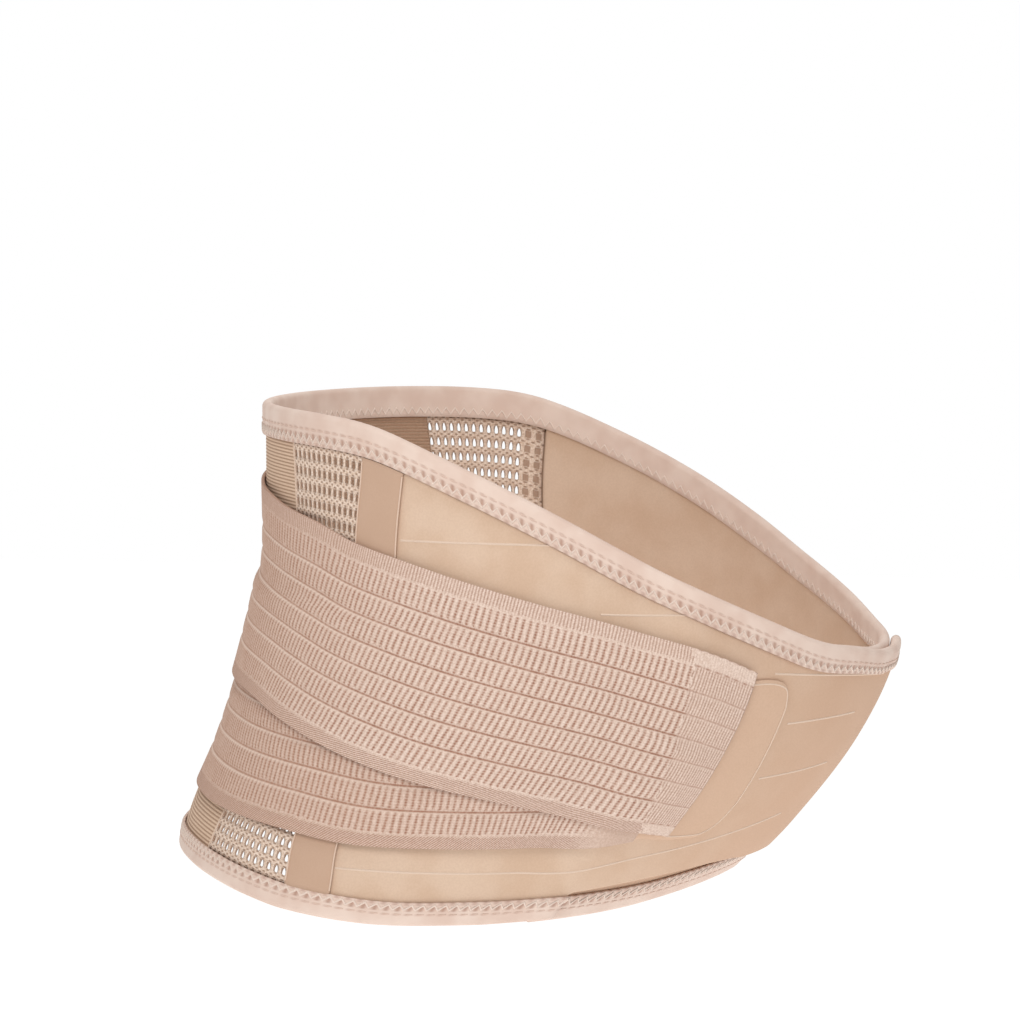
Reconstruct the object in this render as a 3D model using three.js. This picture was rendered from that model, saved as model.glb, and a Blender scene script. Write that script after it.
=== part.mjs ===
import * as THREE from 'three';

// Maternity support belt in its worn shape. Millimetres, +Z up, front towards -Y, and the belt's
// right side towards -X. The origin is on the belt's axis, about half-way up the belt.
// "Turn" is the angle in degrees round the belt from the centre front: 90 is the belt's right
// side, 180 the centre back, 270 the left side and 360 the centre front again.
// "Lift" is the distance of a cloth face from the inner form, measured square to it.

// The inner form that the cloths are laid on
const hipWidth = 360;
const bellyReach = 189;
const seatReach = 139;
const beltHeight = 228;
const bellyTaper = 0.15;

// Cloths
const panelThickness = 2;
const bindingThickness = 1;
const topBindingWidth = 15;
const bottomBindingWidth = 12;
const tapeThickness = 1;
const tapeWidth = 22;
const strapThickness = 1.6;
const channelDepth = 0.6;
const strapWidth = 90;
const clearance = 0.5;
const buttGap = 0.8;

// Slots of the open mesh
const slotWidth = 3;
const slotHeight = 7;
const slotRowPitch = 13;
const slotColumns = 5;
const upperSlotRows = 4;
const lowerSlotRows = 3;

// Places round the belt, as turns in degrees
const lapEnd = -14;
const lapFull = 54;
const lapRamp = 12;
const lapTuck = 0.7;
const endOverlap = 1;
const strapEnd = 43.5;
const lowerStrapEnd = 50;
const strapRoot = 171;
const tabRear = 54;
const turnStep = 7.5;

// The bottom binding's outer end and the belt's inner end pass each other at the closure
const bindingEnd = lapFull - endOverlap;
const innerEnd = lapFull + endOverlap;

// Layers from the inner form outwards
const sewnIn = bindingThickness + clearance;
const overPanel = panelThickness + clearance;
const overTape = overPanel + tapeThickness + clearance;
const overLowerStrap = overTape + strapThickness + clearance;
const lapLift = overPanel + bindingThickness + clearance + sewnIn;

// The form's sections. Level is a share of beltHeight, half a share of half the hip width, and
// front and back are shares of bellyReach and seatReach.
const bodySections = [
  { level: -0.55, half: 1.005, front: 0.49, back: 1.03 },
  { level: -0.44, half: 1.0, front: 0.579, back: 1.0 },
  { level: -0.307, half: 0.989, front: 0.733, back: 0.971 },
  { level: -0.132, half: 0.956, front: 0.896, back: 0.858 },
  { level: 0.044, half: 0.906, front: 0.993, back: 0.776 },
  { level: 0.219, half: 0.85, front: 0.995, back: 0.72 },
  { level: 0.395, half: 0.817, front: 1.0, back: 0.722 },
  { level: 0.57, half: 0.806, front: 0.981, back: 0.725 },
];

// The rims from the centre front to the centre back, as shares of beltHeight
const topRim = [
  { turn: 0, level: 0.055 },
  { turn: 7, level: 0.056 },
  { turn: 15, level: 0.065 },
  { turn: 28, level: 0.084 },
  { turn: 38, level: 0.119 },
  { turn: 54, level: 0.195 },
  { turn: 68, level: 0.279 },
  { turn: 82, level: 0.365 },
  { turn: 96, level: 0.443 },
  { turn: 111, level: 0.513 },
  { turn: 121, level: 0.537 },
  { turn: 140, level: 0.549 },
  { turn: 170, level: 0.552 },
  { turn: 180, level: 0.552 },
];
const bottomRim = [
  { turn: 0, level: -0.419 },
  { turn: 8, level: -0.423 },
  { turn: 14, level: -0.428 },
  { turn: 24, level: -0.439 },
  { turn: 34, level: -0.451 },
  { turn: 44, level: -0.458 },
  { turn: 56, level: -0.462 },
  { turn: 70, level: -0.459 },
  { turn: 86, level: -0.453 },
  { turn: 106, level: -0.428 },
  { turn: 116, level: -0.409 },
  { turn: 131, level: -0.382 },
  { turn: 145, level: -0.365 },
  { turn: 172, level: -0.356 },
  { turn: 180, level: -0.356 },
];

// How far the outer front panel's free lower hem lies above the rim, as a share of
// bottomBindingWidth
const freeHem = [
  { turn: 0, rise: 0.95 },
  { turn: 12, rise: 1.05 },
  { turn: 17, rise: 1.21 },
  { turn: 27, rise: 1.34 },
  { turn: 38, rise: 1.33 },
  { turn: 54, rise: 1.08 },
  { turn: 60, rise: 1.0 },
];

// The centre line of the side tape and the seam of the ribbed back panel
const tapeLine = [
  { level: -0.46, turn: 100.5 },
  { level: -0.38, turn: 102.4 },
  { level: -0.287, turn: 105.2 },
  { level: 0, turn: 110.5 },
  { level: 0.27, turn: 113.3 },
  { level: 0.45, turn: 112 },
  { level: 0.55, turn: 111 },
];
const backSeam = [
  { level: -0.46, turn: 134 },
  { level: -0.26, turn: 132.5 },
  { level: 0, turn: 133.5 },
  { level: 0.35, turn: 136 },
  { level: 0.55, turn: 138 },
];

// The straps' lower edges as shares of beltHeight. Width is a share of strapWidth: the whole
// upper strap narrows with it, and of the lower strap only the part that is covered.
const upperStrapCourse = [
  { turn: 43, low: -0.273, width: 0.785 },
  { turn: 50, low: -0.257, width: 0.815 },
  { turn: 60, low: -0.241, width: 0.866 },
  { turn: 70, low: -0.219, width: 0.9 },
  { turn: 82, low: -0.194, width: 0.933 },
  { turn: 95, low: -0.166, width: 0.972 },
  { turn: 107, low: -0.132, width: 0.986 },
  { turn: 118, low: -0.096, width: 0.98 },
  { turn: 127, low: -0.066, width: 0.99 },
  { turn: 137, low: -0.034, width: 0.97 },
  { turn: 149, low: -0.014, width: 0.99 },
  { turn: 172, low: 0.012, width: 0.99 },
];
const lowerStrapCourse = [
  { turn: 49, low: -0.276, width: 0.36 },
  { turn: 59, low: -0.293, width: 0.5 },
  { turn: 67, low: -0.296, width: 0.66 },
  { turn: 81, low: -0.298, width: 0.86 },
  { turn: 98, low: -0.295, width: 0.97 },
  { turn: 115, low: -0.273, width: 0.98 },
  { turn: 132, low: -0.254, width: 0.98 },
  { turn: 147, low: -0.236, width: 0.98 },
  { turn: 172, low: -0.214, width: 0.98 },
];

// The straps' woven channels: the grooves between the ribs, as shares of the width
const channels = [0, 0.183, 0.302, 0.417, 0.532, 0.656, 0.78, 1];
const uncoveredShare = 0.34;

// The fastening tab's rounded outline, from its front edge to its hidden rear edge. Low and high
// are shares of strapWidth from the origin's level, and the front edge slants by tabLean.
const tabOutline = [
  { turn: 33, low: -0.55, high: -0.08 },
  { turn: 34, low: -0.655, high: 0.01 },
  { turn: 36, low: -0.715, high: 0.045 },
  { turn: 39, low: -0.725, high: 0.058 },
  { turn: 43, low: -0.72, high: 0.058 },
  { turn: tabRear, low: -0.69, high: 0.06 },
];
const tabLean = 4;
const tabMiddle = -0.33;

// Colours of the cloths
const colours = {
  panel: 0xd9bda8,
  ribbed: 0xbb9c86,
  mesh: 0xc6aa95,
  tape: 0xc6a792,
  binding: 0xdfcabc,
  strap: 0xd3b8a7,
  tab: 0xd5b69e,
};

// A smooth curve through one column of a table, read at a value of its key column
function smooth(rows, key, column, at) {
  const last = rows.length - 1;
  const x = (i) => rows[i][key];
  const y = (i) => rows[i][column];
  let i = 0;
  while (i < last - 1 && at > x(i + 1)) i += 1;
  const slope = (k) => {
    const a = Math.max(k - 1, 0);
    const b = Math.min(k + 1, last);
    return (y(b) - y(a)) / (x(b) - x(a));
  };
  const span = x(i + 1) - x(i);
  const s = THREE.MathUtils.clamp((at - x(i)) / span, 0, 1);
  const rise = y(i + 1) - y(i);
  const start = slope(i) * span;
  const end = slope(i + 1) * span;
  return y(i) + s * (start + s * (3 * rise - 2 * start - end + s * (start + end - 2 * rise)));
}

// The same turn on the belt's right side, from 0 at the front to 180 at the back
function mirrored(turn) {
  const round = ((turn % 360) + 360) % 360;
  return Math.min(round, 360 - round);
}

// A point on the inner form: an egg-shaped section, blunter at the back
function bodyPoint(turn, height) {
  const level = height / beltHeight;
  const half = (hipWidth / 2) * smooth(bodySections, 'level', 'half', level);
  const front = bellyReach * smooth(bodySections, 'level', 'front', level);
  const back = seatReach * smooth(bodySections, 'level', 'back', level);
  const angle = THREE.MathUtils.degToRad(turn);
  const across = -half * Math.sin(angle) * (1 - bellyTaper * Math.cos(angle));
  const along = (back - front) / 2 - ((back + front) / 2) * Math.cos(angle);
  return new THREE.Vector3(across, along, height);
}

// A point at a given lift off the inner form
function clothPoint(turn, height, lift) {
  const small = 0.5;
  const round = bodyPoint(turn + small, height).sub(bodyPoint(turn - small, height));
  const up = bodyPoint(turn, height + small).sub(bodyPoint(turn, height - small));
  const out = up.cross(round).normalize();
  return bodyPoint(turn, height).addScaledVector(out, lift);
}

// How many degrees of turn a length round the form takes
function turnOf(length, turn, height) {
  return length / bodyPoint(turn + 0.5, height).distanceTo(bodyPoint(turn - 0.5, height));
}

const topEdge = (turn) => beltHeight * smooth(topRim, 'turn', 'level', mirrored(turn));
const tapeTurn = (height) => smooth(tapeLine, 'level', 'turn', height / beltHeight);
const seamTurn = (height) => smooth(backSeam, 'level', 'turn', height / beltHeight);

// The outer front end of the belt rides up over the inner one at the closure
function lapRise(turn) {
  return lapLift * THREE.MathUtils.smoothstep(lapFull + lapRamp - turn, 0, lapRamp);
}

// The outer end's lower rim is drawn up a little as it rides over the inner end, by lapTuck of its rise
const bottomEdge = (turn) =>
  beltHeight * smooth(bottomRim, 'turn', 'level', mirrored(turn)) + lapTuck * lapRise(turn);

// Turns from one end to the other on a common raster, so that layers bend at the same places
function raster(from, to, extra = []) {
  const hem = [bindingEnd - 1, bindingEnd + 1].filter((turn) => turn > from && turn < to);
  const turns = [from, to, ...hem, ...extra];
  const first = Math.ceil((from + 1) / turnStep) * turnStep;
  for (let turn = first; turn < to - 1; turn += turnStep) turns.push(turn);
  return [...new Set(turns)].sort((a, b) => a - b);
}

const shareRows = (count) => [...Array(count + 1).keys()].map((k) => k / count);

// A closed sheet of cloth over a grid. place(u, v) gives turn, height, lift and thickness of a grid
// point, and open(i, j) says which cells are holes.
function sheet(us, vs, place, open = () => false) {
  const columns = us.length;
  const rows = vs.length;
  const positions = [];
  for (const u of us) {
    for (const v of vs) {
      const { turn, height, lift, thickness } = place(u, v);
      positions.push(...clothPoint(turn, height, lift + thickness).toArray());
      positions.push(...clothPoint(turn, height, lift).toArray());
    }
  }
  const outer = (i, j) => 2 * (i * rows + j);
  const inner = (i, j) => outer(i, j) + 1;
  const solid = (i, j) => i >= 0 && j >= 0 && i < columns - 1 && j < rows - 1 && !open(i, j);
  const faces = [];
  const quad = (a, b, c, d) => faces.push(a, b, c, a, c, d);
  const wall = (i0, j0, i1, j1) => quad(outer(i0, j0), outer(i1, j1), inner(i1, j1), inner(i0, j0));
  for (let i = 0; i < columns - 1; i += 1) {
    for (let j = 0; j < rows - 1; j += 1) {
      if (!solid(i, j)) continue;
      quad(outer(i, j), outer(i, j + 1), outer(i + 1, j + 1), outer(i + 1, j));
      quad(inner(i, j), inner(i + 1, j), inner(i + 1, j + 1), inner(i, j + 1));
      if (!solid(i - 1, j)) wall(i, j + 1, i, j);
      if (!solid(i + 1, j)) wall(i + 1, j, i + 1, j + 1);
      if (!solid(i, j - 1)) wall(i, j, i + 1, j);
      if (!solid(i, j + 1)) wall(i + 1, j + 1, i, j + 1);
    }
  }
  return geometryOf(positions, faces);
}

// A strip with one closed section, given as points of lift and drop from the rim, swept round.
// Its faces are split the same way as a sheet's, so that it stays clear of the sheet in its fold.
function strip(turns, section, place) {
  const count = section.length;
  const positions = [];
  for (const turn of turns) {
    for (const point of section) {
      const { height, lift } = place(turn, point);
      positions.push(...clothPoint(turn, height, lift).toArray());
    }
  }
  const faces = [];
  for (let i = 0; i < turns.length - 1; i += 1) {
    for (let k = 0; k < count; k += 1) {
      const a = i * count + k;
      const b = i * count + ((k + 1) % count);
      const rising = positions[3 * b + 2] >= positions[3 * a + 2];
      if (rising) faces.push(a, b, b + count, a, b + count, a + count);
      else faces.push(a, b, a + count, b, b + count, a + count);
    }
  }
  const end = (turns.length - 1) * count;
  for (const [a, b, c] of THREE.ShapeUtils.triangulateShape(section, [])) {
    faces.push(a, b, c, end + a, end + c, end + b);
  }
  return geometryOf(positions, faces);
}

// A geometry from shared points and faces, turned outwards if its volume comes out negative
function geometryOf(positions, faces) {
  let volume = 0;
  const corner = (k) => new THREE.Vector3().fromArray(positions, 3 * faces[k]);
  for (let k = 0; k < faces.length; k += 3) {
    volume += corner(k).dot(corner(k + 1).cross(corner(k + 2)));
  }
  const geometry = new THREE.BufferGeometry();
  geometry.setAttribute('position', new THREE.Float32BufferAttribute(positions, 3));
  geometry.setIndex(volume < 0 ? [...faces].reverse() : faces);
  geometry.computeVertexNormals();
  return geometry;
}

const belt = new THREE.Group();

function add(name, geometry, colour, roughness) {
  const material = new THREE.MeshStandardMaterial({ color: colour, roughness, metalness: 0 });
  const mesh = new THREE.Mesh(geometry, material);
  mesh.name = name;
  belt.add(mesh);
}

// Rows of a panel. Each is a share of the way between two lines that keep fixed distances from
// the panel's lower and upper edge, so rows near a rim line up with its binding.
const topLeg = topBindingWidth - sewnIn;
const bottomLeg = bottomBindingWidth - sewnIn;
function panelRows(middle) {
  const rows = [{ share: 0, low: 0, high: 0 }];
  for (let k = 0; k <= middle; k += 1) rows.push({ share: k / middle, low: bottomLeg, high: topLeg });
  rows.push({ share: 1, low: 0, high: 0 });
  return rows;
}
const heightInPanel = (row, bottom, top) =>
  bottom + row.low + row.share * (top - row.high - bottom - row.low);

const boundBottom = (turn) => bottomEdge(turn) + sewnIn;
const boundTop = (turn) => topEdge(turn) - sewnIn;

// A panel's raster near a slanting seam: the turns between a steady one and its nominal edge are
// shifted so that the edge falls on the seam
const backRaster = { steady: 144, edge: 132 };
const frontRaster = { steady: 96, edge: 114 };
function shifted(turn, { steady, edge }, seam) {
  const share = Math.max((turn - steady) / (edge - steady), 0);
  return share > 0 ? steady + share * (seam - steady) : turn;
}

// A point of a panel, with its turn shifted for its seam
function panelPlace(row, turn, limit, bottom = boundBottom) {
  let at = turn;
  let height = 0;
  for (let pass = 0; pass < 4; pass += 1) {
    height = heightInPanel(row, bottom(at), boundTop(at));
    at = limit(turn, height);
  }
  return { turn: at, height, lift: lapRise(at), thickness: panelThickness };
}

// The ribbed back panel between the two back seams
const seamGap = (height) => turnOf(buttGap / 2, 135, height);
function backPanel() {
  const limit = (turn, height) => {
    const seam = seamTurn(height) + seamGap(height);
    return turn < 180 ? shifted(turn, backRaster, seam) : 360 - shifted(360 - turn, backRaster, seam);
  };
  const turns = raster(backRaster.edge, 360 - backRaster.edge);
  return sheet(turns, panelRows(9), (turn, row) => panelPlace(row, turn, limit));
}

// The open mesh between the back seam and the side tape, pierced where the straps leave it bare
function meshPanel(side) {
  const lastColumn = 2 * slotColumns + 1;
  const across = [...Array(lastColumn + 1).keys()];
  const rows = [{ share: 0, low: 0, high: 0 }, { share: 0, low: bottomLeg, high: 0 }];
  const holes = new Set();
  const bar = slotRowPitch - slotHeight;
  for (let k = 0; k < lowerSlotRows; k += 1) {
    holes.add(rows.length);
    rows.push({ share: 0, low: bottomLeg + bar / 2 + k * slotRowPitch, high: 0 });
    rows.push({ share: 0, low: bottomLeg + bar / 2 + k * slotRowPitch + slotHeight, high: 0 });
  }
  const lowerZone = bottomLeg + lowerSlotRows * slotRowPitch;
  const upperZone = topLeg + upperSlotRows * slotRowPitch;
  const middle = 5;
  for (let k = 0; k <= middle; k += 1) {
    rows.push({ share: k / middle, low: lowerZone, high: upperZone });
  }
  for (let k = upperSlotRows - 1; k >= 0; k -= 1) {
    holes.add(rows.length);
    rows.push({ share: 1, low: 0, high: topLeg + bar / 2 + k * slotRowPitch + slotHeight });
    rows.push({ share: 1, low: 0, high: topLeg + bar / 2 + k * slotRowPitch });
  }
  rows.push({ share: 1, low: 0, high: topLeg }, { share: 1, low: 0, high: 0 });
  const limit = (k, height) => {
    const tape = tapeTurn(height);
    const from = tape + turnOf(buttGap / 2, tape, height);
    const to = seamTurn(height) - seamGap(height);
    const bare = tape + turnOf(tapeWidth / 2, tape, height);
    const slot = turnOf(slotWidth, tape, height);
    const pitch = (to - bare) / slotColumns;
    if (k === 0) return from;
    if (k === lastColumn) return to;
    const start = bare + (Math.ceil(k / 2) - 0.5) * pitch;
    return k % 2 === 1 ? start - slot / 2 : start + slot / 2;
  };
  const place = (u, row) => {
    const k = side > 0 ? u : lastColumn - u;
    const guess = panelPlace(row, 120, (turn, height) => limit(k, height));
    return { ...guess, turn: side > 0 ? guess.turn : 360 - guess.turn };
  };
  const open = (i, j) => {
    const cell = side > 0 ? i : lastColumn - 1 - i;
    return cell % 2 === 1 && holes.has(j);
  };
  return sheet(across, rows, place, open);
}

// The front panels. The right one is the outer end of the belt and has a free hem past the end of
// the bottom binding; the left one is the inner end.
function towardsTape(turn, height) {
  const tape = tapeTurn(height);
  return shifted(turn, frontRaster, tape - turnOf(buttGap / 2, tape, height));
}

function hemOrBinding(turn) {
  if (turn > bindingEnd) return boundBottom(turn);
  return bottomEdge(turn) + bottomBindingWidth * smooth(freeHem, 'turn', 'rise', mirrored(turn));
}

function frontPanelRight() {
  const turns = raster(lapEnd, frontRaster.edge);
  return sheet(turns, panelRows(9), (turn, row) => panelPlace(row, turn, towardsTape, hemOrBinding));
}

function frontPanelLeft() {
  const turns = raster(360 - frontRaster.edge, 360 + innerEnd);
  const limit = (turn, height) => 360 - towardsTape(360 - turn, height);
  return sheet(turns, panelRows(9), (turn, row) => panelPlace(row, turn, limit));
}

// The folded elastic bindings: a U-shaped section that holds the panels' edges
const outerLeg = overPanel + bindingThickness;
const foldedSection = (width) => [
  new THREE.Vector2(outerLeg, width),
  new THREE.Vector2(outerLeg, 0),
  new THREE.Vector2(-sewnIn, 0),
  new THREE.Vector2(-sewnIn, width),
  new THREE.Vector2(-clearance, width),
  new THREE.Vector2(-clearance, bindingThickness),
  new THREE.Vector2(overPanel, bindingThickness),
  new THREE.Vector2(overPanel, width),
];

function topBinding() {
  const place = (turn, point) => ({ height: topEdge(turn) - point.y, lift: lapRise(turn) + point.x });
  return strip(raster(lapEnd, 360 + innerEnd), foldedSection(topBindingWidth), place);
}

function bottomBinding() {
  const place = (turn, point) => ({ height: bottomEdge(turn) + point.y, lift: lapRise(turn) + point.x });
  return strip(raster(bindingEnd, 360 + innerEnd), foldedSection(bottomBindingWidth), place);
}

// The side tape over the seam of mesh and front panel, between the two bindings
function seamTape(side) {
  const columns = [-0.5, 0, 0.5];
  const shares = shareRows(16);
  const place = (u, share) => {
    let turn = tapeTurn(0);
    let height = 0;
    for (let pass = 0; pass < 4; pass += 1) {
      const bottom = bottomEdge(turn) + bottomBindingWidth + clearance;
      const top = topEdge(turn) - topBindingWidth - clearance;
      height = bottom + share * (top - bottom);
      const middle = tapeTurn(height);
      turn = middle + side * u * turnOf(tapeWidth, middle, height);
    }
    return { turn: side > 0 ? turn : 360 - turn, height, lift: overPanel, thickness: tapeThickness };
  };
  return sheet(columns, shares, place);
}

// Where the straps run at a turn, and how high they sit on what is below them
const lowerEdgeOf = (course, turn) => beltHeight * smooth(course, 'turn', 'low', turn);
const widthOf = (course, turn) => strapWidth * smooth(course, 'turn', 'width', turn);

function lowerStrapHeight(turn, share) {
  const covered = widthOf(lowerStrapCourse, turn) - uncoveredShare * strapWidth;
  const past = Math.max(share - uncoveredShare, 0) / (1 - uncoveredShare);
  const bare = Math.min(share, uncoveredShare) * strapWidth;
  return lowerEdgeOf(lowerStrapCourse, turn) + bare + past * covered;
}

const upperStrapHeight = (turn, share) =>
  lowerEdgeOf(upperStrapCourse, turn) + share * widthOf(upperStrapCourse, turn);

function upperStrapSeat(turn, height) {
  const above = height - lowerStrapHeight(turn, 1);
  const bump = strapWidth / 8;
  const byHeight = 1 - THREE.MathUtils.smoothstep(above, bump / 4, bump);
  const byTurn = THREE.MathUtils.smoothstep(turn, strapEnd, lowerStrapEnd);
  return overTape + (overLowerStrap - overTape) * byHeight * byTurn;
}

// A woven strap: its outer face has a rib between each two channels, up to a share of its width
function strap(side, from, ribbedTo, heightAt, seatAt) {
  const shares = [];
  for (let k = 0; k < channels.length - 1; k += 1) {
    shares.push(channels[k]);
    if (channels[k] < ribbedTo) shares.push((channels[k] + channels[k + 1]) / 2);
  }
  shares.push(1);
  const turns = raster(from, strapRoot, from < lowerStrapEnd ? [lowerStrapEnd] : []);
  const us = side > 0 ? turns : turns.map((turn) => 360 - turn).reverse();
  const place = (u, share) => {
    const turn = side > 0 ? u : 360 - u;
    const height = heightAt(turn, share);
    const thickness = strapThickness - (channels.includes(share) ? channelDepth : 0);
    return { turn: u, height, lift: seatAt(turn, height) + lapRise(u), thickness };
  };
  return sheet(us, shares, place);
}

// The smooth tab that the strap ends are sewn to
function fasteningTab(side) {
  const front = tabOutline.map((row) => row.turn).filter((turn) => turn < strapEnd - 1);
  const turns = [...front, ...raster(strapEnd, tabRear)];
  const us = side > 0 ? turns : turns.map((turn) => 360 - turn).reverse();
  const shares = shareRows(5);
  const place = (u, share) => {
    const turn = side > 0 ? u : 360 - u;
    const low = smooth(tabOutline, 'turn', 'low', turn);
    const high = smooth(tabOutline, 'turn', 'high', turn);
    const height = strapWidth * (low + share * (high - low));
    const forward = Math.max(strapEnd - turn, 0) / (strapEnd - front[0]);
    const slant = tabLean * forward * (height / strapWidth - tabMiddle);
    const at = side > 0 ? u + slant : u - slant;
    return { turn: at, height, lift: overPanel + lapRise(at), thickness: tapeThickness };
  };
  return sheet(us, shares, place);
}

add('back_panel', backPanel(), colours.ribbed, 0.95);
add('mesh_panel_right', meshPanel(1), colours.mesh, 0.95);
add('mesh_panel_left', meshPanel(-1), colours.mesh, 0.95);
add('front_panel_right', frontPanelRight(), colours.panel, 0.9);
add('front_panel_left', frontPanelLeft(), colours.panel, 0.9);
add('seam_tape_right', seamTape(1), colours.tape, 0.85);
add('seam_tape_left', seamTape(-1), colours.tape, 0.85);
add('top_binding', topBinding(), colours.binding, 0.9);
add('bottom_binding', bottomBinding(), colours.binding, 0.9);
add('fastening_tab_right', fasteningTab(1), colours.tab, 0.9);
add('fastening_tab_left', fasteningTab(-1), colours.tab, 0.9);
for (const [side, name] of [[1, 'right'], [-1, 'left']]) {
  add(`lower_strap_${name}`, strap(side, lowerStrapEnd, 0.5, lowerStrapHeight, () => overTape), colours.strap, 0.95);
  add(`upper_strap_${name}`, strap(side, strapEnd, 1, upperStrapHeight, upperStrapSeat), colours.strap, 0.95);
}

export default belt;
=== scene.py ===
import math

import bmesh
import bpy
import numpy as np
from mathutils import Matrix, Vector


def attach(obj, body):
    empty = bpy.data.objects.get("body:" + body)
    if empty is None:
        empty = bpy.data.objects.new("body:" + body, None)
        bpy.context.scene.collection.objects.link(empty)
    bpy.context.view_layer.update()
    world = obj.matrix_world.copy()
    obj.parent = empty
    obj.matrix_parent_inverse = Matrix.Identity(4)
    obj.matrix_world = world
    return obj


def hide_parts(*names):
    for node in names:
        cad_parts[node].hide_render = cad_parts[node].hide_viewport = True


# A maternity support belt in its worn shape, in metres, +Z up, front towards -Y and the belt's
# right side towards -X. "Turn" is the angle round the belt from the centre front: 90 is the right
# side, 180 the centre back and 270 the left side. "Lift" is the distance off the inner form, the
# smooth surface just inside the cloth.
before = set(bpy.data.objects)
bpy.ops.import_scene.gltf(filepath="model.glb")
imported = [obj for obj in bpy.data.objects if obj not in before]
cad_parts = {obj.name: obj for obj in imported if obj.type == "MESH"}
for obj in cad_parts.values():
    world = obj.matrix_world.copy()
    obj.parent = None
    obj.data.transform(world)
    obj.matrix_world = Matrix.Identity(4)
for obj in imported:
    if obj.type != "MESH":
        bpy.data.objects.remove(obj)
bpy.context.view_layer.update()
scene = bpy.context.scene
MM = 0.001


# Camera

def towards(azimuth, elevation):
    """The direction from the belt to a camera or a lamp."""
    a, e = math.radians(azimuth), math.radians(elevation)
    return Vector((math.sin(a) * math.cos(e), -math.cos(a) * math.cos(e), math.sin(e)))


def place_camera(azimuth, elevation, distance, aim, lens):
    back = towards(azimuth, elevation)
    data = bpy.data.cameras.new("camera")
    data.lens = lens
    data.sensor_width = 36
    camera = bpy.data.objects.new("camera", data)
    camera.location = Vector(aim) + distance * back
    camera.rotation_euler = back.to_track_quat("Z", "Y").to_euler()
    scene.collection.objects.link(camera)
    scene.camera = camera


place_camera(-75, 4, 3.0, (0.00246, -0.0092, 0.072), 222.35)


# Sizes

HIP_WIDTH = 360 * MM
BELLY_REACH = 189 * MM
SEAT_REACH = 139 * MM
BELT_HEIGHT = 228 * MM
BELLY_TAPER = 0.15
PANEL = 2 * MM
BINDING = 1 * MM
TOP_BINDING_WIDTH = 15 * MM
BOTTOM_BINDING_WIDTH = 12 * MM
TAPE = 1 * MM
TAPE_WIDTH = 22 * MM
STRAP = 1.6 * MM
STRAP_WIDTH = 90 * MM
CLEARANCE = 0.5 * MM
BUTT_GAP = 0.8 * MM
NET_SEAM_GAP = 0.1 * MM
LAP_END = -14
LAP_FULL = 54
LAP_RAMP = 12
LAP_TUCK = 0.7
STRAP_END = 43.5
LOWER_STRAP_END = 50
STRAP_ROOT = 171
TAB_REAR = 54
BINDING_END = LAP_FULL - 1
INNER_END = LAP_FULL + 1
SEWN_IN = BINDING + CLEARANCE
OVER_PANEL = PANEL + CLEARANCE
OVER_TAPE = OVER_PANEL + TAPE + CLEARANCE
OVER_LOWER_STRAP = OVER_TAPE + STRAP + CLEARANCE
LAP_LIFT = OVER_PANEL + BINDING + CLEARANCE + SEWN_IN
CORD_PITCH = 3 * MM
ZIGZAG_PITCH = 5 * MM

# Level, and shares of half of HIP_WIDTH, of BELLY_REACH and of SEAT_REACH
SECTIONS = [
    (-0.55, 1.005, 0.49, 1.03),
    (-0.44, 1.0, 0.579, 1.0),
    (-0.307, 0.989, 0.733, 0.971),
    (-0.132, 0.956, 0.896, 0.858),
    (0.044, 0.906, 0.993, 0.776),
    (0.219, 0.85, 0.995, 0.72),
    (0.395, 0.817, 1.0, 0.722),
    (0.57, 0.806, 0.981, 0.725),
]

# Turn and level of the rims
TOP_RIM = [
    (0, 0.055), (7, 0.056), (15, 0.065), (28, 0.084), (38, 0.119), (54, 0.195), (68, 0.279),
    (82, 0.365), (96, 0.443), (111, 0.513), (121, 0.537), (140, 0.549), (170, 0.552), (180, 0.552),
]
BOTTOM_RIM = [
    (0, -0.419), (8, -0.423), (14, -0.428), (24, -0.439), (34, -0.451), (44, -0.458), (56, -0.462),
    (70, -0.459), (86, -0.453), (106, -0.428), (116, -0.409), (131, -0.382), (145, -0.365),
    (172, -0.356), (180, -0.356),
]
# Turn, and share of their widths that the bindings' legs have there
TOP_LEG = [(0, 0.58), (16, 0.64), (30, 0.78), (45, 0.92), (62, 1.0), (180, 1.0)]
BOTTOM_LEG = [(0, 1.0), (56, 1.0), (75, 0.92), (90, 0.87), (180, 0.87)]
# Turn, and rise of the outer front panel's free hem over the rim as a share of the binding's width
FREE_HEM = [(0, 0.95), (12, 1.05), (17, 1.21), (27, 1.34), (38, 1.33), (54, 1.08), (60, 1.0)]
# Level and turn of the side tape and of the seam of the ribbed back
TAPE_LINE = [
    (-0.46, 100.5), (-0.38, 102.4), (-0.287, 105.2), (0, 110.5), (0.27, 113.3), (0.45, 112),
    (0.55, 111),
]
BACK_SEAM = [(-0.46, 134), (-0.26, 132.5), (0, 133.5), (0.35, 136), (0.55, 138)]
# Turn, level of the lower edge and share of the strap's width
UPPER_STRAP = [
    (43, -0.273, 0.785), (50, -0.257, 0.815), (60, -0.241, 0.866), (70, -0.219, 0.9),
    (82, -0.194, 0.933), (95, -0.166, 0.972), (107, -0.132, 0.986), (118, -0.096, 0.98),
    (127, -0.066, 0.99), (137, -0.034, 0.97), (149, -0.014, 0.99), (172, 0.012, 0.99),
]
LOWER_STRAP = [
    (49, -0.276, 0.36), (59, -0.293, 0.5), (67, -0.296, 0.66), (81, -0.298, 0.86),
    (98, -0.295, 0.97), (115, -0.273, 0.98), (132, -0.254, 0.98), (147, -0.236, 0.98),
    (172, -0.214, 0.98),
]
# The straps' bands from the lower selvage to the upper one, as shares of the width
BANDS = [0, 0.065, 0.183, 0.302, 0.417, 0.532, 0.656, 0.78, 0.915, 1]
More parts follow.
